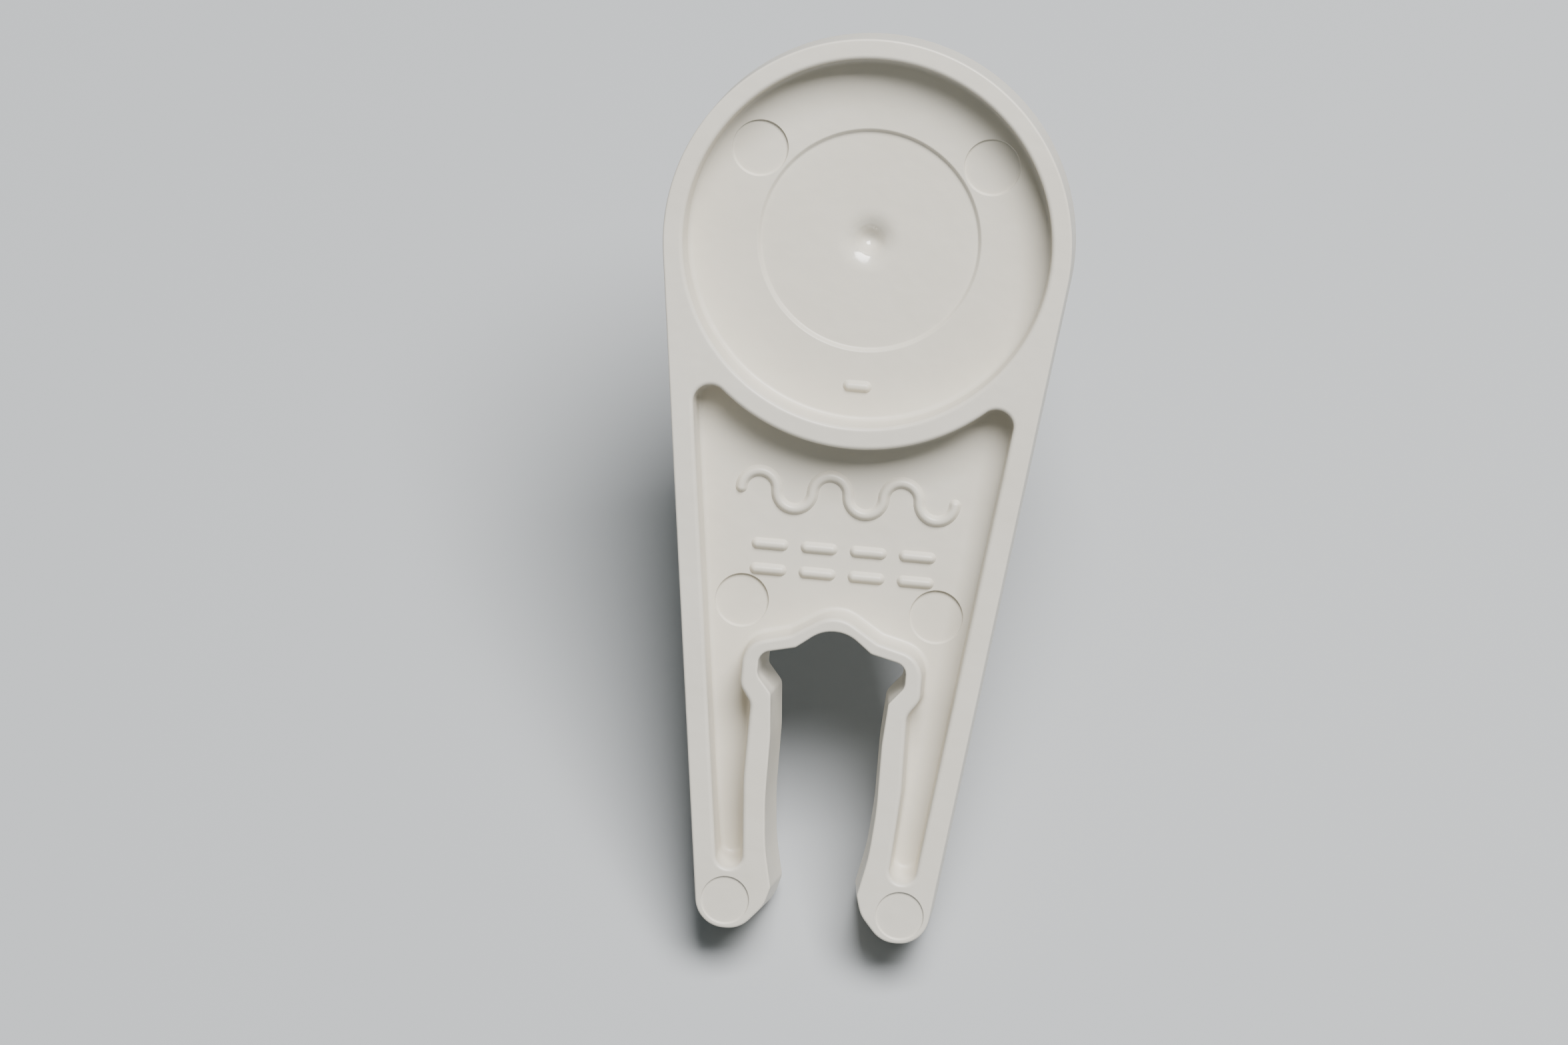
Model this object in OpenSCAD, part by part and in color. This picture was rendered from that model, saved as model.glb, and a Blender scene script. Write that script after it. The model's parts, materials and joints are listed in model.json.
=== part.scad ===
// Clip-on spool holder: a dished round rest on a tapered arm. The arm's fork
// snaps on to a rod, and a post behind the rest carries a spool of thread.
// It is one moulding. The nodes are its working regions, and the two legs flex.
// It leans on the tips of its legs and the end of its post, ribbed face up.
//
// Every module but place() works in the plate's frame: +Y from the leg tips to
// the rest, z = 0 on the smooth face and z = body_h on the ribbed face.

/* [Spool rest] */
// Outer radius of the rest
rest_r = 12; // [11:0.25:14]
// Radius of the dish inside the raised rim
dish_r = 10.75; // [9.5:0.25:10.75]
// Radius of the deeper circle in the dish
step_r = 6.5; // [5:0.25:8]
// How much deeper that circle is
step_depth = 0.2; // [0.1:0.05:0.4]
// Radius of the low boss around the post, on the smooth side
boss_r = 7.5; // [5:0.25:9]
// Height of the boss
boss_h = 0.4; // [0.2:0.1:0.6]

/* [Plate] */
// Depth of the moulding, smooth face to ribbed face
body_h = 5; // [4.5:0.25:6]
// Depth of the dish and of the pockets below the ribbed face
pocket_depth = 2.5; // [2:0.1:3]
// Angle between each straight side and the centre line
side_taper = 7.4; // [6:0.1:9]
// Thickness of the wall along each side
side_wall = 1.4; // [1.2:0.05:1.6]
// Radius of the pocket's corners
corner_r = 0.7; // [0.4:0.1:0.8]

/* [Fork] */
// Distance from the rest's centre to the centres of the tips
tip_reach = 39.3; // [38.5:0.1:40.5]
// Radius of the rounded tips
tip_r = 1.75; // [1.6:0.05:1.9]
// Distance from the rest's centre to where the legs begin to flex
leg_root = 25.45; // [25.3:0.05:25.6]
// Half the width of the gap between the legs, at its waist
gap_half = 3.22; // [3.15:0.01:3.3]
// Half the width of the gap's mouth, between the toes
mouth_half = 2.57; // [2.5:0.01:2.7]
// Width of the lip around the seat
lip_w = 1.05; // [0.9:0.05:1.2]
// Width of the lip along each leg
leg_lip_w = 1.35; // [1.1:0.05:1.5]

/* [Spool post] */
// Length of the post from the smooth face
post_len = 32.5; // [30:0.5:36]
// Radius of the post
post_r = 2.4; // [2.2:0.1:2.6]
// Rounding of the post's end
post_round = 1.2; // [0.8:0.1:1.6]

/* [Raised marks] */
// Width of the raised strokes
stroke_w = 0.5; // [0.4:0.05:0.6]
// Height of the strokes above the floor
stroke_h = 0.25; // [0.15:0.05:0.3]

/* [Hidden] */
ivory = [0.84, 0.82, 0.78];
fine = 96;
eps = 0.01;
far = 60;
// How far a cutting shape runs past what it cuts
over = 1;

floor_z = body_h - pocket_depth;

// The straight sides are tangent to the rest. This is their half width at a
// distance s from the rest's centre, less a margin measured square to the side.
function side_x(s, margin = 0) = (rest_r - margin - s * sin(side_taper)) / cos(side_taper);

tip_x = side_x(tip_reach, tip_r);
plate_end = tip_reach + tip_r;

// The arm begins just past where its sides leave the rest, so that it doesn't
// end in a knife edge.
arm_start = rest_r * sin(side_taper) + 1;

// Seat for the rod: a wide lobe at the top, a lobe on each side, and a soft
// bump of material between them. Each is [x, s, radius].
top_lobe = [0, 24.55, 1.6];
side_lobe = [3.2, leg_root, 1.05];
bump = [2.75, 22.7, 1.5];
shoulder = [3.4, 26.9];
waist_s = 31;
toe_s = 38.45;

// The grooves end just short of the toes, where each lip has widened a little.
groove_end = 37.4;
lip_flare = 0.3;

// The gap's sides bow in from the waist to the toes, along this radius.
toe_in = gap_half - mouth_half;
bow_r = ((toe_s - waist_s) * (toe_s - waist_s) + toe_in * toe_in) / (2 * toe_in);

// Where a line from point p touches the circle of radius r about c, with the
// circle on its -angle side.
function tangent_point(p, c, r) =
    let (d = norm(c - p), reach = sqrt(d * d - r * r))
    let (direction = atan2(c[1] - p[1], c[0] - p[0]) + asin(r / d))
    [p[0] + reach * cos(direction), p[1] + reach * sin(direction)];

// The plate leans until its tips and the rounded end of the post touch z = 0.
lean_a = plate_end - (post_r - post_round);
lean_b = post_len - post_round;
lean = atan2(lean_b, lean_a) + asin(post_round / norm([lean_a, lean_b]));
y_front = -plate_end * cos(lean) - body_h * sin(lean);
y_back = (post_r - post_round) * cos(lean) + (post_len - post_round) * sin(lean) + post_round;

// From the plate's frame to the part's: leaning on z = 0, centred in x and y.
module place() {
    translate([0, -(y_front + y_back) / 2, plate_end * sin(lean)]) rotate([lean, 0, 0]) children();
}

// A flat outline drawn with s running down the arm, raised from z = low to high.
module slab(low, high) {
    translate([0, 0, low]) linear_extrude(high - low) mirror([0, 1]) children();
}

module both_sides() {
    children();
    mirror([1, 0]) children();
}

// ---- Outlines, in x and s ----

module disc(c) {
    translate([c[0], c[1]]) circle(r = c[2], $fn = fine);
}

// The arm between its two straight sides, from low to high down its length.
module between_sides(low, high, margin = 0) {
    polygon([
        [-side_x(low, margin), low], [side_x(low, margin), low],
        [side_x(high, margin), high], [-side_x(high, margin), high]
    ]);
}

// What is cut away around the round part of the right tip: inwards from the
// line that joins the toe to the round, and outwards from the straight side.
module tip_corner() {
    past = plate_end + over;
    inner = tangent_point([mouth_half, toe_s], [tip_x, tip_reach], tip_r);
    outer = [tip_x + tip_r * cos(side_taper), tip_reach + tip_r * sin(side_taper)];
    difference() {
        union() {
            polygon([[0, toe_s], [mouth_half, toe_s], inner, [tip_x, tip_reach], [tip_x, past], [0, past]]);
            polygon([[tip_x, tip_reach], outer, [outer[0] + over, outer[1]], [outer[0] + over, past], [tip_x, past]]);
        }
        disc([tip_x, tip_reach, tip_r]);
    }
}

// The gap between the legs, seat included.
module gap_outline() {
    difference() {
        both_sides() {
            hull() {
                disc(top_lobe);
                disc(side_lobe);
            }
            hull() {
                disc(side_lobe);
                polygon([[0, leg_root], shoulder, [0, shoulder[1]]]);
            }
            polygon([[0, leg_root], shoulder, [gap_half, waist_s], [0, waist_s]]);
            intersection() {
                disc([gap_half - bow_r, waist_s, bow_r]);
                translate([0, waist_s - eps]) square([far, toe_s - waist_s + eps]);
            }
        }
        both_sides() disc(bump);
    }
}

// The arm and legs.
module body_outline() {
    difference() {
        between_sides(arm_start, plate_end);
        gap_outline();
        both_sides() tip_corner();
    }
}

// The pocket and its two grooves: inside the side walls, below the rest and
// outside the lip.
module pocket_outline() {
    lip_x = gap_half + leg_lip_w;
    lip_end_x = mouth_half + leg_lip_w + lip_flare;
    offset(r = corner_r, $fn = 32) offset(r = -corner_r) difference() {
        between_sides(0, groove_end, side_wall);
        disc([0, 0, rest_r]);
        offset(r = lip_w, $fn = 48) gap_outline();
        polygon([
            [-lip_x, shoulder[1]], [lip_x, shoulder[1]], [lip_x, waist_s], [lip_end_x, groove_end + over],
            [-lip_end_x, groove_end + over], [-lip_x, waist_s]
        ]);
    }
}

module above_root() {
    translate([-far, 0]) square([2 * far, leg_root]);
}

// ---- Sub-parts ----

module spool_rest() {
    color(ivory) place() difference() {
        union() {
            cylinder(r = rest_r, h = body_h, $fn = fine);
            translate([0, 0, -boss_h]) cylinder(r = boss_r, h = boss_h + eps, $fn = fine);
        }
        translate([0, 0, floor_z]) cylinder(r = dish_r, h = body_h, $fn = fine);
        translate([0, 0, floor_z - step_depth]) cylinder(r = step_r, h = body_h, $fn = fine);
    }
}

module arm() {
    color(ivory) place() difference() {
        slab(0, body_h) intersection() {
            body_outline();
            above_root();
        }
        slab(floor_z, body_h + over) pocket_outline();
        translate([0, 0, -over]) cylinder(r = rest_r, h = body_h + 2 * over, $fn = fine);
    }
}

// The leg on the +X side.
module leg() {
    difference() {
        slab(0, body_h) intersection() {
            body_outline();
            translate([0, leg_root]) square([far, far]);
        }
        slab(floor_z, body_h + over) pocket_outline();
    }
}

module left_leg() {
    color(ivory) place() mirror([1, 0, 0]) leg();
}

module right_leg() {
    color(ivory) place() leg();
}

// Stands on the boss and ends rounded.
module spool_post() {
    shaft = post_len - boss_h;
    color(ivory) place() translate([0, 0, -boss_h]) mirror([0, 0, 1]) rotate_extrude($fn = fine) {
        square([post_r, shaft - post_round]);
        square([post_r - post_round, shaft]);
        intersection() {
            translate([post_r - post_round, shaft - post_round]) circle(r = post_round, $fn = fine);
            square([post_r, shaft]);
        }
    }
}

// A stroke of length l along x, with round ends, centred on the origin.
module dash(l) {
    square([l - stroke_w, stroke_w], center = true);
    for (side = [-1, 1]) translate([side * (l - stroke_w) / 2, 0]) circle(r = stroke_w / 2, $fn = 24);
}

// A row of half rings that swings above and below the row's centre line.
module wave(count, mid_r) {
    for (i = [0 : count - 1]) translate([(2 * i - count + 1) * mid_r, 0]) intersection() {
        difference() {
            circle(r = mid_r + stroke_w / 2, $fn = 48);
            circle(r = mid_r - stroke_w / 2, $fn = 48);
        }
        translate([-2 * mid_r, i % 2 == 0 ? -2 * mid_r : 0]) square([4 * mid_r, 2 * mid_r]);
    }
}

// Sewing-stitch pattern in the pocket, and one dash in the dish.
module raised_marks() {
    wave_s = 15.1;
    half_rings = 6;
    ring_mid_r = 1.05;
    dash_s = 19.1;
    dash_len = 2;
    dash_rows = 1.5;
    dash_pitch = 2.9;
    dish_dash_s = 8.6;
    dish_dash_len = 1.5;
    color(ivory) place() slab(floor_z, floor_z + stroke_h) {
        translate([0, wave_s]) wave(half_rings, ring_mid_r);
        translate([0, dash_s]) for (col = [-1.5 : 1 : 1.5], row = [-0.5, 0.5])
            translate([col * dash_pitch, row * dash_rows]) dash(dash_len);
        translate([0, dish_dash_s]) dash(dish_dash_len);
    }
}

spool_rest();
arm();
left_leg();
right_leg();
spool_post();
raised_marks();
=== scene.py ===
"""Clip-on spool holder: the looks of one ivory plastic moulding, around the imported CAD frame.

Shapes are made in the plate's own frame, in millimetres, and placed once at the end. Outlines
are drawn in x, across the plate, and s, from the rest's centre towards the leg tips. Heights z
run from the smooth face, at 0, to the ribbed face, at BODY_H.
"""

import json
import math

import bmesh
import bpy
import numpy as np
from mathutils import Matrix, Vector


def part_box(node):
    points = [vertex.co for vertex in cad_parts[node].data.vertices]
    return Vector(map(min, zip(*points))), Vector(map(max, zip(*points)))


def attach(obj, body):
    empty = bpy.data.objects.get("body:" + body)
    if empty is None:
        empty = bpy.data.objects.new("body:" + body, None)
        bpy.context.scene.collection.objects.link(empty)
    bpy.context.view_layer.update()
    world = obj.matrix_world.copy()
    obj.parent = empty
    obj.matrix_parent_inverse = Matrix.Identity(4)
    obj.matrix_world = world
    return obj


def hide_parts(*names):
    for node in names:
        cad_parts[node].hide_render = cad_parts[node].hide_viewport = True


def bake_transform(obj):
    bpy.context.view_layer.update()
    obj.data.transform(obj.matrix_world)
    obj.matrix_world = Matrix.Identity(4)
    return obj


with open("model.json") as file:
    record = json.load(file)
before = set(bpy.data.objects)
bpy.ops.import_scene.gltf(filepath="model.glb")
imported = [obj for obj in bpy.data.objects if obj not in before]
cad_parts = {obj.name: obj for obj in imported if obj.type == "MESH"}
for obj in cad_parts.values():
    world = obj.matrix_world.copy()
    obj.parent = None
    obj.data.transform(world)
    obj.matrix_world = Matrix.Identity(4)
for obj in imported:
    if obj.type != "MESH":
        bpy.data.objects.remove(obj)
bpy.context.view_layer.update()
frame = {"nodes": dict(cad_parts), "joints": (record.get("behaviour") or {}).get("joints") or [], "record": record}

MM = 0.001

# ---- The plate's frame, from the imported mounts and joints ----

mounts = {m["name"]: m for m in frame["record"]["mounts"]}
joints = {j["name"]: j for j in frame["joints"]}
normal = -Vector(mounts["spool_pin"]["axis"])
down_arm = Vector(mounts["fork_seat"]["axis"])
across = Vector((1, 0, 0))

arm_heights = [v.co.dot(normal) for v in frame["nodes"]["arm"].data.vertices]
pin_middle = Vector(mounts["spool_pin"]["pos_m"])
plate_origin = pin_middle + normal * (min(arm_heights) - pin_middle.dot(normal))
plate_turn = Matrix((across, -down_arm, normal)).transposed().to_4x4()
TO_ROW = Matrix.Translation(plate_origin) @ plate_turn @ Matrix.Scale(MM, 4)


def to_row(x, s, z):
    """A point of the plate's frame, as a point of the row frame in metres."""
    return TO_ROW @ Vector((x, -s, z))


def to_plate(point):
    """The x, s and z in the plate's frame of a point in the row frame."""
    p = TO_ROW.inverted() @ Vector(point)
    return p.x, -p.y, p.z


# ---- Sizes, in millimetres ----

# The plate
BODY_H = (max(arm_heights) - min(arm_heights)) / MM
REST_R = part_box("spool_rest")[1].x / MM
SIDE_TAPER = math.radians(7.4)
SIDE_WALL = 1.4
TIP_R = 1.75
LEG_ROOT = to_plate(joints["right_leg_flex"]["pos_m"])[1]
PLATE_END = max(to_plate(v.co)[1] for v in frame["nodes"]["right_leg"].data.vertices)

# Draft: how far each wall leans in from the size at its open edge. The outside walls are
# widest at the smooth face, so at the ribbed face the plate ends a little short.
SIDE_DRAFT = 0.08
GAP_DRAFT = 0.35
POCKET_DRAFT = 0.1
NEAR_END = PLATE_END - SIDE_DRAFT

# Rounded edges: of the recesses, of the outside at the ribbed face and at the smooth face,
# and where a recess meets its floor
EDGE_R = 0.24
RIM_R = 0.12
FAR_EDGE_R = 0.2
FLOOR_FILLET = 0.28
DISH_FILLET = 0.33

# An extra ring this far past each rounded edge keeps the shading of the flat face even.
SUPPORT = 0.05

# The recesses
FLOOR_Z = BODY_H - 2.5
DISH_R = 10.75
STEP_R = 6.5
STEP_DEPTH = 0.3
LOW_Z = FLOOR_Z - STEP_DEPTH
GROOVE_END = 37.4
GROOVE_RAMP = 0.4

# The sink dimple: how steep its side is at each distance from its centre
DIMPLE_R = 2.0
DIMPLE_SLOPES = [
    (0, 0), (0.15, 0.32), (0.32, 0.46), (0.5, 1.3), (0.78, 1.25),
    (0.95, 0.56), (1.25, 0.37), (1.6, 0.14), (DIMPLE_R, 0),
]

# The boss and the post, on the smooth side
BOSS_R = 7.5
BOSS_ROUND = 0.12
POST_R = mounts["spool_pin"]["dims"]["r_mm"]
POST_LEN = mounts["spool_pin"]["dims"]["length_mm"]
POST_END = POST_LEN / 2 - to_plate(pin_middle)[2]
BOSS_H = POST_END - POST_LEN
POST_ROUND = 1.2
POST_FILLET = 0.7
GATE_R = 0.5
GATE_DEPTH = 0.08

# Marks left by ejector pins, with centres in x and s
MARK_DEPTH = 0.2
POCKET_MARK_R = 1.58
POCKET_MARKS = [(-5.74, 21.8), (5.74, 21.8)]
DISH_MARK_R = 1.65
DISH_MARKS = [(-6.8, -4.87), (6.8, -4.87)]
TIP_MARK_R = 1.42
TIP_MARK_DEPTH = 0.12
TIP_MARK_SHIFT = 0.09

# How finely curves are cut
ROUND_STEPS = 6
CIRCLE_STEPS = 256
SMALL_CIRCLE_STEPS = 72
POST_STEPS = 96
DIMPLE_STEPS = 64
LONGEST_STEP = 0.35
WIDEST_TURN = math.radians(6)
NO_LENGTH = 1e-4


# ---- Outlines ----

def side_x(s, margin=0.0):
    """Half width between the straight sides at s, less a margin square to the side."""
    return (REST_R - margin - s * math.sin(SIDE_TAPER)) / math.cos(SIDE_TAPER)


def rounded(corners):
    """An open path through corners (x, s, radius), each but the first and last rounded."""
    path = [np.array(corners[0][:2], float)]
    for before, (x, s, r), after in zip(corners, corners[1:], corners[2:]):
        corner = np.array((x, s), float)
        back = np.array(before[:2]) - corner
        on = np.array(after[:2]) - corner
        back, on = back / np.linalg.norm(back), on / np.linalg.norm(on)
        half = math.acos(np.clip(back @ on, -1, 1)) / 2
        bisector = (back + on) / np.linalg.norm(back + on)
        centre = corner + bisector * r / math.sin(half)
        first = corner + back * r / math.tan(half) - centre
        last = corner + on * r / math.tan(half) - centre
        turn = math.pi - 2 * half
        steps = max(4, math.ceil(turn / WIDEST_TURN), math.ceil(r * turn / LONGEST_STEP))
        for k in range(steps + 1):
            share = k / steps
            arm = first * math.sin((1 - share) * turn) + last * math.sin(share * turn)
            path.append(centre + arm / math.sin(turn))
    path.append(np.array(corners[-1][:2], float))
    return np.array(path)


def stepped(loop):
    """The loop with its long straight stretches cut into even steps, and repeats dropped."""
    out = []
    for a, b in zip(loop, np.roll(loop, -1, axis=0)):
        length = np.linalg.norm(b - a)
        if length > NO_LENGTH:
            steps = math.ceil(length / LONGEST_STEP)
            out += [a + (b - a) * k / steps for k in range(steps)]
    return np.array(out)


def closed_loop(*stretches):
    """A closed loop from the stretches of its +x side, the last of which runs past x = 0."""
    *first, last = stretches
    half = np.vstack([*first, last[:np.argmin(np.abs(last[:, 0])) + 1]])
    half[0, 0] = half[-1, 0] = 0
    other = half[::-1] * (-1, 1)
    return stepped(np.vstack([half, other[1:-1]]))


def arc(radius, first, last, centre=(0, 0)):
    """Points of an arc between two angles, measured from +x towards +s."""
    sweep = abs(last - first)
    steps = math.ceil(max(sweep * radius / LONGEST_STEP, sweep / WIDEST_TURN))
    angles = np.linspace(first, last, steps + 1)
    return np.c_[centre[0] + radius * np.cos(angles), centre[1] + radius * np.sin(angles)]


def circle(radius, centre=(0, 0), steps=CIRCLE_STEPS):
    angles = np.arange(steps) * 2 * math.pi / steps
    return np.c_[centre[0] + radius * np.cos(angles), centre[1] + radius * np.sin(angles)]


def outward(loop):
    """Unit normals of a closed loop, pointing out of it, lengthened at corners."""
    ahead = np.roll(loop, -1, axis=0) - loop
    ahead /= np.linalg.norm(ahead, axis=1)[:, None]
    behind = np.roll(ahead, 1, axis=0)
    mean = ahead + behind
    mean /= np.linalg.norm(mean, axis=1)[:, None]
    x, s = loop.T
    turns = np.sign(np.sum(x * np.roll(s, -1) - np.roll(x, -1) * s))
    normals = np.c_[mean[:, 1], -mean[:, 0]] * turns
    return normals / np.sum(mean * ahead, axis=1)[:, None]


def plate_loop():
    """The whole plate at its ribbed face: rest, sides, tips and gap.

    The corners run from the tip up the gap's +x side, and over the seat's top at x = 0.
    """
    near_r = REST_R - SIDE_DRAFT
    leaves = near_r * np.array((math.cos(SIDE_TAPER), math.sin(SIDE_TAPER)))
    side_and_gap = rounded([
        (*leaves, 0),
        (side_x(NEAR_END, SIDE_DRAFT), NEAR_END, TIP_R),
        (4.18, NEAR_END, TIP_R),
        (2.86, 39.47, 2.0),
        (2.54, 38.35, 0.4),
        (3.05, 36.0, 12.0),
        (3.28, 33.2, 20.0),
        (3.28, 29.3, 8.0),
        (3.46, 26.85, 0.4),
        (4.34, 25.8, 0.75),
        (4.34, 24.48, 0.75),
        (2.22, 23.98, 0.5),
        (0, 22.28, 2.2),
        (-2.22, 23.98, 0.5),
    ])
    return closed_loop(arc(near_r, -math.pi / 2, SIDE_TAPER), side_and_gap[1:])


def pocket_loop():
    """The pocket with its two grooves, at the top of its walls."""
    ring_r, corner_r = REST_R + 0.05, 1.0
    leaves = SIDE_TAPER + math.acos((REST_R - SIDE_WALL - corner_r) / (ring_r + corner_r))
    corner = (ring_r + corner_r) * np.array((math.cos(leaves), math.sin(leaves)))
    below_rest = arc(ring_r, math.pi / 2, leaves)
    turn = arc(corner_r, leaves - math.pi, SIDE_TAPER, corner)
    groove_and_lip = rounded([
        (*turn[-1], 0),
        (side_x(GROOVE_END, SIDE_WALL), GROOVE_END, 0.75),
        (4.3, GROOVE_END, 0.74),
        (4.68, 32.0, 12.0),
        (4.6, 27.5, 1.0),
        (5.3, 26.5, 1.0),
        (5.3, 24.0, 1.6),
        (2.6, 23.3, 0.8),
        (0, 21.7, 2.0),
        (-2.6, 23.3, 0.8),
    ])
    return closed_loop(below_rest, turn[1:], groove_and_lip[1:])


# ---- Meshes ----

def smooth(share):
    """0 up to a share of 0, 1 from a share of 1, and an even S between."""
    share = np.clip(share, 0, 1)
    return share ** 2 * (3 - 2 * share)


def quarter(r, steps=ROUND_STEPS):
    """How far round a quarter circle of radius r: pairs that run from (0, 0) to (r, r)."""
    angles = np.linspace(0, math.pi / 2, steps + 1)
    return [(r * math.sin(a), r * (1 - math.cos(a))) for a in angles]


def ring(bm, points, z):
    return [bm.verts.new((x, -s, z)) for x, s in points]


def join(bm, made):
    """Faces between each ring and the next. Returns the rings."""
    for low, high in zip(made, made[1:]):
        for i in range(len(low)):
            bm.faces.new((low[i - 1], low[i], high[i], high[i - 1]))
    return made


def rings(bm, loop, profile):
    """Joined rings round a loop. The profile's rows are (offset out of the loop, z)."""
    normals = outward(loop)
    return join(bm, [
        ring(bm, loop + normals * np.reshape(offset, (-1, 1)), z) for offset, z in profile
    ])


def fill(bm, *loops):
    """A flat face between loops of vertices: an outer one and any number of holes."""
    edges = []
    for loop in loops:
        for pair in zip(loop, loop[-1:] + loop[:-1]):
            edges.append(bm.edges.get(pair) or bm.edges.new(pair))
    bmesh.ops.triangle_fill(bm, use_beauty=True, use_dissolve=False, edges=edges)


def ejector_mark(bm, centre, z, radius, depth=MARK_DEPTH):
    """A shallow round recess left by an ejector pin. Returns its outer ring."""
    soft = 0.02
    profile = [
        (2 * soft, z), (soft, z), (0, z - soft), (-soft, z - depth + soft),
        (-2.5 * soft, z - depth), (-6 * soft, z - depth),
    ]
    made = rings(bm, circle(radius, centre, SMALL_CIRCLE_STEPS), profile)
    fill(bm, made[-1])
    return made[0]


def plate_walls(bm):
    """The plate's outside wall. Returns its rings on the smooth face and the ribbed face.

    The draft grows towards the gap, with the distance from the straight sides.
    """
    grows_from, grows_over = 0.6, 3
    loop = plate_loop()
    x, s = np.abs(loop[:, 0]), loop[:, 1]
    inside = REST_R - x * math.cos(SIDE_TAPER) - s * math.sin(SIDE_TAPER)
    towards_gap = smooth((inside - grows_from) / grows_over) * (s > REST_R)
    draft = SIDE_DRAFT + (GAP_DRAFT - SIDE_DRAFT) * towards_gap
    low_share, high_share = 0.95, 0.02
    profile = [(draft - FAR_EDGE_R - SUPPORT, 0)]
    profile += [(draft - FAR_EDGE_R + along, up) for along, up in quarter(FAR_EDGE_R)]
    profile += [
        (draft * low_share, FAR_EDGE_R + 2 * SUPPORT),
        (draft * high_share, BODY_H - RIM_R - 2 * SUPPORT),
    ]
    profile += [(along - RIM_R, BODY_H - up) for along, up in reversed(quarter(RIM_R))]
    profile += [(-RIM_R - SUPPORT, BODY_H)]
    made = rings(bm, loop, profile)
    return made[0], made[-1]


def recess_profile(fillet):
    """From the ribbed face over a rounded edge and down a drafted wall to a filleted floor."""
    high_share, low_share = 0.03, 0.95
    profile = [(EDGE_R + SUPPORT, BODY_H)]
    profile += [(EDGE_R - along, BODY_H - up) for along, up in quarter(EDGE_R)]
    profile += [
        (-high_share * POCKET_DRAFT, BODY_H - EDGE_R - SUPPORT),
        (-low_share * POCKET_DRAFT, FLOOR_Z + fillet + SUPPORT),
    ]
    profile += [(-POCKET_DRAFT - up, FLOOR_Z + fillet - along) for along, up in quarter(fillet)]
    profile += [(-POCKET_DRAFT - fillet - SUPPORT, FLOOR_Z)]
    return profile


def dish(bm):
    """The round recess with its deeper circle and central dimple. Returns its ring on the rim."""
    walls = rings(bm, circle(DISH_R), recess_profile(DISH_FILLET))
    step_rings = rings(bm, circle(STEP_R), [
        (0.11, FLOOR_Z), (0.07, FLOOR_Z), (0.01, FLOOR_Z - 0.04), (-0.09, LOW_Z + 0.05),
        (-0.16, LOW_Z), (-0.16 - SUPPORT, LOW_Z),
    ])
    marks = [ejector_mark(bm, c, FLOOR_Z, DISH_MARK_R) for c in DISH_MARKS]
    fill(bm, walls[-1], step_rings[0], *marks)

    radii = np.linspace(DIMPLE_R, 0.01, 40)
    slopes = np.interp(radii, *zip(*DIMPLE_SLOPES))
    depths = np.r_[0, np.cumsum((slopes[1:] + slopes[:-1]) / 2 * -np.diff(radii))]
    dimple = [(radius - DIMPLE_R, LOW_Z - depth) for radius, depth in zip(radii, depths)]
    dimple_rings = rings(bm, circle(DIMPLE_R, steps=DIMPLE_STEPS), [(SUPPORT, LOW_Z), *dimple])
    fill(bm, step_rings[-1], dimple_rings[0])
    fill(bm, dimple_rings[-1])
    return walls[0]


def pocket(bm):
    """The tapered pocket and its grooves, whose ends ramp up. Returns its ring on the ribbed face."""
    ramp_from, ramp_over, ramp_power = 33.5, 4, 1.5
    loop = pocket_loop()
    normals = outward(loop)
    pull = GROOVE_RAMP * smooth((loop[:, 1] - ramp_from) / ramp_over)
    made = []
    for offset, z in recess_profile(FLOOR_FILLET):
        points = loop + normals * offset
        points[:, 1] -= pull * ((BODY_H - z) / (BODY_H - FLOOR_Z)) ** ramp_power
        made.append(ring(bm, points, z))
    join(bm, made)
    marks = [ejector_mark(bm, c, FLOOR_Z, POCKET_MARK_R) for c in POCKET_MARKS]
    fill(bm, made[-1], *marks)
    return made[0]


def boss(bm):
    """The low boss on the smooth side. Returns its ring on the smooth face."""
    bends = quarter(BOSS_ROUND, 4)
    profile = [(BOSS_ROUND + SUPPORT, 0)]
    profile += [(BOSS_ROUND - along, -up) for along, up in bends]
    profile += [(-up, -BOSS_H + BOSS_ROUND - along) for along, up in bends]
    profile += [(-BOSS_ROUND - SUPPORT, -BOSS_H)]
    made = rings(bm, circle(BOSS_R), profile)
    fill(bm, made[-1])
    return made[0]


def moulding():
    """The whole plate as one closed mesh, in the plate's frame."""
    bm = bmesh.new()
    far_ring, near_ring = plate_walls(bm)
    tip_s = NEAR_END - TIP_R
    tip_x = side_x(tip_s, TIP_R + SIDE_DRAFT)
    tip_marks = [
        ejector_mark(bm, (x, tip_s + TIP_MARK_SHIFT), BODY_H, TIP_MARK_R, TIP_MARK_DEPTH)
        for x in (-tip_x, tip_x)
    ]
    fill(bm, near_ring, dish(bm), pocket(bm), *tip_marks)
    fill(bm, far_ring, boss(bm))
    return bm


def as_piece(bm, name, material):
    """An object from a mesh in the plate's frame."""
    bmesh.ops.recalc_face_normals(bm, faces=bm.faces)
    mesh = bpy.data.meshes.new(name)
    bm.to_mesh(mesh)
    bm.free()
    mesh.transform(TO_ROW)
    mesh.shade_smooth()
    mesh.materials.append(material)
    piece = bpy.data.objects.new(name, mesh)
    bpy.context.scene.collection.objects.link(piece)
    return piece


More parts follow.
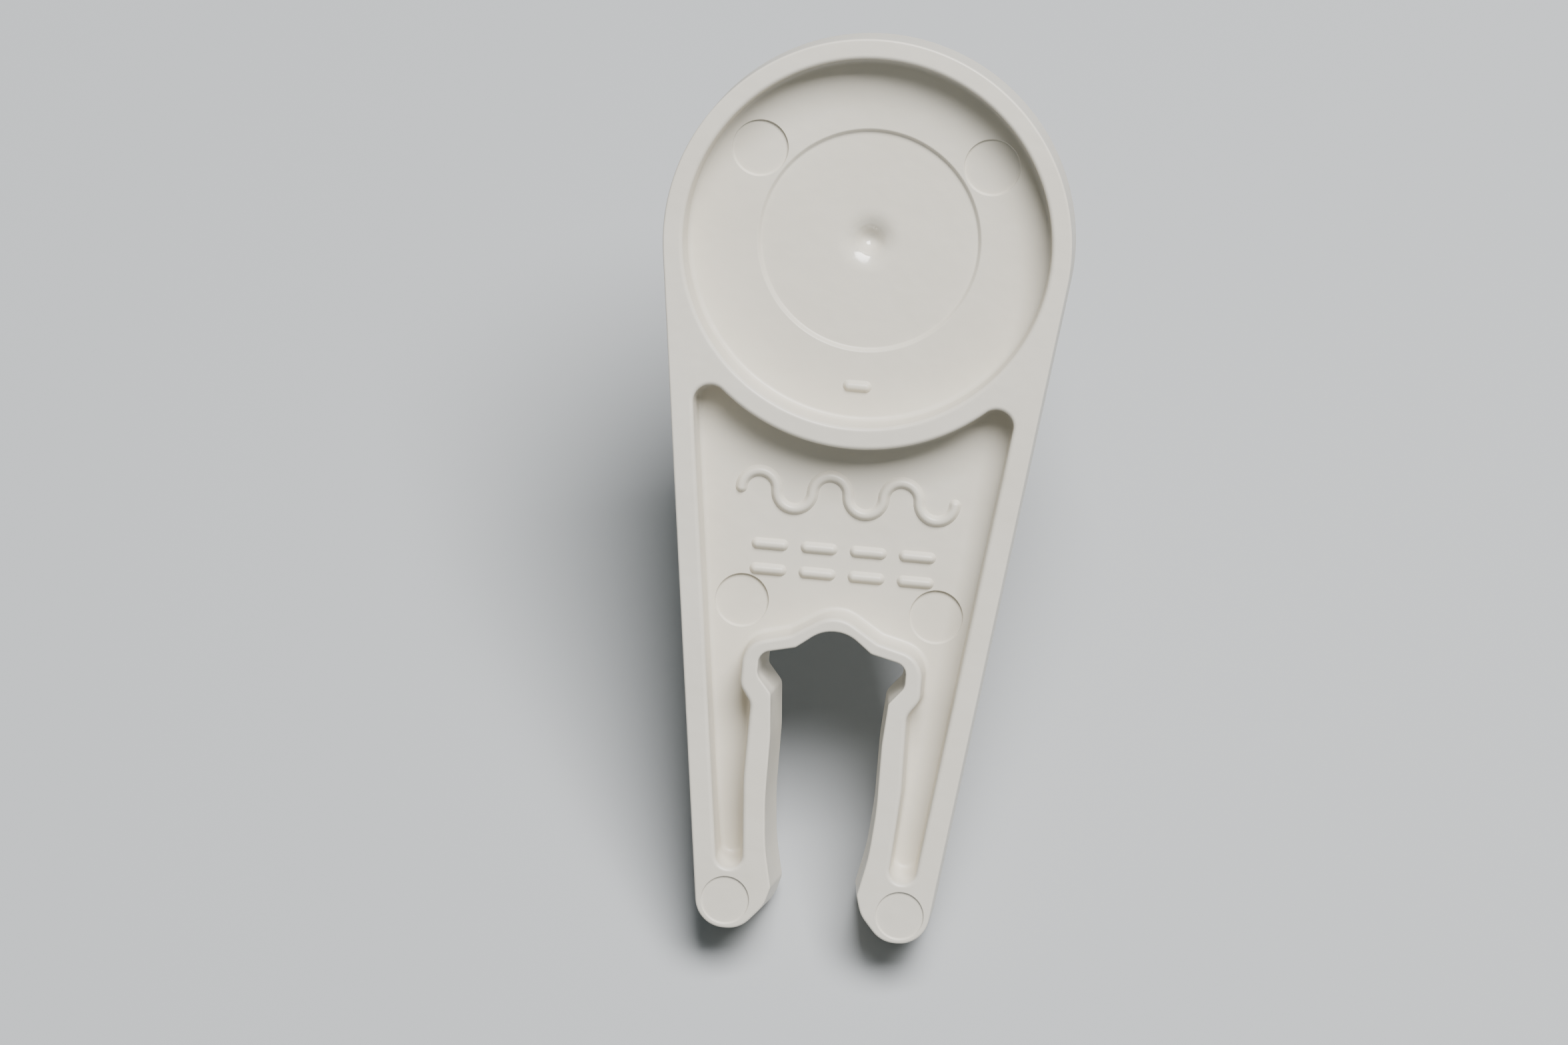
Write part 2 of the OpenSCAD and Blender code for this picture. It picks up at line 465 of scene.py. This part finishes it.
def cut_from(whole, name, material, side):
    """One part of the moulding, cut square across the leg roots and closed there.

    side is 0 for the rest and arm, and -1 or 1 for the leg on that side.
    """
    bm = whole.copy()
    bmesh.ops.bisect_plane(
        bm, geom=bm.verts[:] + bm.edges[:] + bm.faces[:], dist=1e-5,
        plane_co=(0, -LEG_ROOT, 0), plane_no=(0, 1, 0),
        clear_inner=side == 0, clear_outer=side != 0,
    )
    if side:
        other = [v for v in bm.verts if v.co.x * side < 0]
        bmesh.ops.delete(bm, geom=other, context="VERTS")
    rim = [e for e in bm.edges if e.is_boundary]
    bmesh.ops.triangle_fill(bm, use_beauty=True, use_dissolve=False, edges=rim)
    for e in rim:
        e.smooth = False
    return as_piece(bm, name, material)


def post(material):
    """The spool post: a fillet off the boss, a straight shaft and a rounded end with a gate mark."""
    root, end_z = -BOSS_H, -POST_END - POST_ROUND
    even = 0.3
    profile = [(POST_FILLET - along, root - up) for along, up in quarter(POST_FILLET, 8)]
    profile += [(0, root - POST_FILLET - even), (0, -POST_END + even)]
    profile += [(-up, -POST_END - along) for along, up in quarter(POST_ROUND, 10)]
    profile += [
        (GATE_R + 0.1 - POST_R, end_z), (GATE_R - POST_R, end_z),
        (GATE_R - 0.05 - POST_R, end_z + GATE_DEPTH),
    ]
    bm = bmesh.new()
    made = rings(bm, circle(POST_R, steps=POST_STEPS), profile)
    fill(bm, made[0])
    fill(bm, made[-1])
    return as_piece(bm, "spool_post_moulded", material)


# ---- Raised marks: a stitch pattern, in place of any wording ----

STROKE_R = 0.27
STROKE_H = 0.3
# Across the stroke, from its foot to its top: shares of its radius and of its height
STROKE_SECTION = [
    (1.3, -0.02), (1.3, 0.0), (1.08, 0.14), (0.92, 0.42), (0.72, 0.74), (0.45, 0.93), (0.18, 1.0),
]


def stroke(bm, path):
    """A raised stroke with a rounded top and round ends, along a path on the floor."""
    path = np.array(path, float)
    ahead = np.gradient(path, axis=0)
    ahead /= np.linalg.norm(ahead, axis=1)[:, None]
    left = np.c_[-ahead[:, 1], ahead[:, 0]]
    cap = np.linspace(0, math.pi, 13)[1:-1]
    made = []
    for wide, high in STROKE_SECTION:
        r = STROKE_R * wide
        front = [path[-1] + r * (math.cos(a) * left[-1] + math.sin(a) * ahead[-1]) for a in cap]
        rear = [path[0] - r * (math.cos(a) * left[0] + math.sin(a) * ahead[0]) for a in cap]
        loop = [*(path + left * r), *front, *(path - left * r)[::-1], *rear]
        made.append(ring(bm, loop, FLOOR_Z + STROKE_H * high))
    join(bm, made)
    fill(bm, made[0])
    fill(bm, made[-1])


def raised_marks(material):
    """A wavy row, two rows of dashes and one dash in the dish, as on the CAD node."""
    wave_r, half_waves, wave_s = 1.05, 6, 15.1
    dash_s, dash_rows, dash_pitch, dash_half = 19.1, 1.5, 2.9, 0.75
    dish_dash_s, dish_dash_half = 8.6, 0.5
    bm = bmesh.new()
    wave = []
    for i in range(half_waves):
        middle = (2 * i - half_waves + 1) * wave_r
        bow = -1 if i % 2 == 0 else 1
        turn = np.linspace(math.pi, 0, 17)[0 if i == 0 else 1:]
        wave += [(middle + wave_r * math.cos(a), wave_s + bow * wave_r * math.sin(a)) for a in turn]
    stroke(bm, wave)
    for row in (-0.5, 0.5):
        for column in (-1.5, -0.5, 0.5, 1.5):
            xs = np.linspace(-dash_half, dash_half, 5) + column * dash_pitch
            stroke(bm, [(x, dash_s + row * dash_rows) for x in xs])
    stroke(bm, [(x, dish_dash_s) for x in np.linspace(-dish_dash_half, dish_dash_half, 4)])
    return as_piece(bm, "raised_marks_moulded", material)


# ---- Materials ----

def ivory_plastic():
    """Satin ivory plastic: faint tone and gloss variation, fine grain and soft waviness.

    The floors of the recesses are a little creamier, which is painted warm bounce light, and the sink dimple is
    glossier.
    """
    material = bpy.data.materials.new("ivory_plastic")
    material.use_nodes = True
    tree = material.node_tree
    nodes, link = tree.nodes, tree.links.new
    bsdf = nodes["Principled BSDF"]
    place = nodes.new("ShaderNodeTexCoord").outputs["Object"]

    def noise(scale, detail=2.0, roughness=0.5):
        node = nodes.new("ShaderNodeTexNoise")
        node.inputs["Scale"].default_value = scale
        node.inputs["Detail"].default_value = detail
        node.inputs["Roughness"].default_value = roughness
        link(place, node.inputs["Vector"])
        return node.outputs["Fac"]

    def between(value, low, high, out_low, out_high):
        node = nodes.new("ShaderNodeMapRange")
        node.inputs["From Min"].default_value = low
        node.inputs["From Max"].default_value = high
        node.inputs["To Min"].default_value = out_low
        node.inputs["To Max"].default_value = out_high
        link(value, node.inputs["Value"])
        return node.outputs["Result"]

    def measured(operation, by):
        node = nodes.new("ShaderNodeVectorMath")
        node.operation = operation
        link(place, node.inputs[0])
        node.inputs[1].default_value = by
        return node.outputs["Value"]

    def bump(height, distance, under=None):
        node = nodes.new("ShaderNodeBump")
        node.inputs["Distance"].default_value = distance
        link(height, node.inputs["Height"])
        if under:
            link(under.outputs["Normal"], node.inputs["Normal"])
        return node

    # Colour: a random tone, and painted warm bounce light on the recess floors
    tone = nodes.new("ShaderNodeMix")
    tone.data_type = "RGBA"
    tone.inputs["A"].default_value = (0.664, 0.618, 0.532, 1)
    tone.inputs["B"].default_value = (0.696, 0.653, 0.568, 1)
    link(between(noise(130, 3), 0.35, 0.65, 0, 1), tone.inputs["Factor"])
    # Painted bounce light: the deeper a point lies, down to the recess floors, the warmer its colour is
    # multiplied, standing in for light bounced inside the recesses.
    height = measured("DOT_PRODUCT", normal)
    near_z, floor_z = (to_row(0, 0, z).dot(normal) for z in (BODY_H, FLOOR_Z))
    painted_bounce_tint = nodes.new("ShaderNodeMix")
    painted_bounce_tint.data_type = "RGBA"
    painted_bounce_tint.blend_type = "MULTIPLY"
    painted_bounce_tint.inputs["B"].default_value = (1.0, 0.997, 0.982, 1)
    link(between(height, floor_z, near_z, 1, 0), painted_bounce_tint.inputs["Factor"])
    link(tone.outputs["Result"], painted_bounce_tint.inputs["A"])
    link(painted_bounce_tint.outputs["Result"], bsdf.inputs["Base Color"])

    # Gloss
    from_dimple = measured("DISTANCE", to_row(0, 0, LOW_Z))
    satin_from = (0.9 * MM, 1.6 * MM)
    coat_until = (1.0 * MM, 1.7 * MM)
    glossy = nodes.new("ShaderNodeMix")
    link(between(from_dimple, *satin_from, 0, 1), glossy.inputs["Factor"])
    glossy.inputs["A"].default_value = 0.1
    link(between(noise(420, 3), 0.3, 0.7, 0.32, 0.42), glossy.inputs["B"])
    link(glossy.outputs["Result"], bsdf.inputs["Roughness"])
    link(between(from_dimple, *coat_until, 1, 0), bsdf.inputs["Coat Weight"])
    bsdf.inputs["Coat Roughness"].default_value = 0.06
    bsdf.inputs["IOR"].default_value = 1.5

    # Waviness, most of it in the dimple, and grain
    waviness = bump(noise(900, 1), 0.00012)
    link(between(from_dimple, *satin_from, 1, 0.25), waviness.inputs["Strength"])
    grain = bump(noise(7000, 3, 0.6), 0.00003, under=waviness)
    grain.inputs["Strength"].default_value = 0.12
    link(grain.outputs["Normal"], bsdf.inputs["Normal"])
    return material


def floor_material():
    material = bpy.data.materials.new("pale_floor")
    material.use_nodes = True
    bsdf = material.node_tree.nodes["Principled BSDF"]
    bsdf.inputs["Base Color"].default_value = (0.41, 0.42, 0.43, 1)
    bsdf.inputs["Roughness"].default_value = 0.7
    return material


# ---- Stage, light and camera ----

def stage():
    """A plain pale floor that the leg tips and the post's end stand on."""
    half = 1.5
    corners = [(-half, -half, 0), (half, -half, 0), (half, half, 0), (-half, half, 0)]
    mesh = bpy.data.meshes.new("floor")
    mesh.from_pydata(corners, [], [(0, 1, 2, 3)])
    mesh.materials.append(floor_material())
    floor = bpy.data.objects.new("floor", mesh)
    bpy.context.scene.collection.objects.link(floor)


def softbox(name, place, aim, size, power):
    """A square soft light at place, in metres, pointing at aim."""
    data = bpy.data.lights.new(name, "AREA")
    data.size = size
    data.energy = power
    light = bpy.data.objects.new(name, data)
    light.location = place
    light.rotation_mode = "QUATERNION"
    light.rotation_quaternion = (Vector(aim) - Vector(place)).to_track_quat("-Z", "Y")
    light.visible_camera = False
    bpy.context.scene.collection.objects.link(light)


def lights():
    """A dim, cool surround and one softbox above the plate, up its arm and to the right."""
    world = bpy.context.scene.world or bpy.data.worlds.new("studio")
    bpy.context.scene.world = world
    world.use_nodes = True
    background = world.node_tree.nodes["Background"]
    background.inputs["Color"].default_value = (0.8, 0.95, 1.0, 1)
    background.inputs["Strength"].default_value = 0.16
    softbox("overhead", place=(0.13, 0.028, 0.6), aim=to_row(0, 15, BODY_H), size=0.34, power=8.8)


def camera():
    """Long lens above the arm, looking down the plate's normal from a little past the rest."""
    eye = to_row(21, -38, 422.5)
    aim = to_row(-3.49, 16.68, BODY_H)
    lens_px, sensor, frame_px = 10830, 36.0, 2352
    lean_in_view = math.radians(4.67)
    data = bpy.data.cameras.new("camera")
    data.sensor_width = sensor
    data.lens = sensor * lens_px / frame_px
    data.clip_start, data.clip_end = 0.01, 10
    cam = bpy.data.objects.new("camera", data)
    bpy.context.scene.collection.objects.link(cam)
    back = (eye - aim).normalized()
    arm_in_view = (down_arm - back * down_arm.dot(back)).normalized()
    sideways = arm_in_view.cross(back)
    up = -arm_in_view * math.cos(lean_in_view) + sideways * math.sin(lean_in_view)
    right = up.cross(back)
    turn = Matrix((right, up, back)).transposed()
    cam.rotation_mode = "QUATERNION"
    cam.matrix_world = Matrix.Translation(eye) @ turn.to_4x4()
    bpy.context.scene.camera = cam


# ---- The scene ----

camera()
lights()
stage()
plastic = ivory_plastic()

whole = moulding()
body = cut_from(whole, "rest_and_arm_moulded", plastic, 0)
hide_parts("spool_rest", "arm")
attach(body, "holder")

for side, leg in ((-1, "left_leg"), (1, "right_leg")):
    piece = cut_from(whole, leg + "_moulded", plastic, side)
    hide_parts(leg)
    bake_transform(piece)
whole.free()

shaft = post(plastic)
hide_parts("spool_post")
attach(shaft, "holder")

marks = raised_marks(plastic)
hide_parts("raised_marks")
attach(marks, "holder")
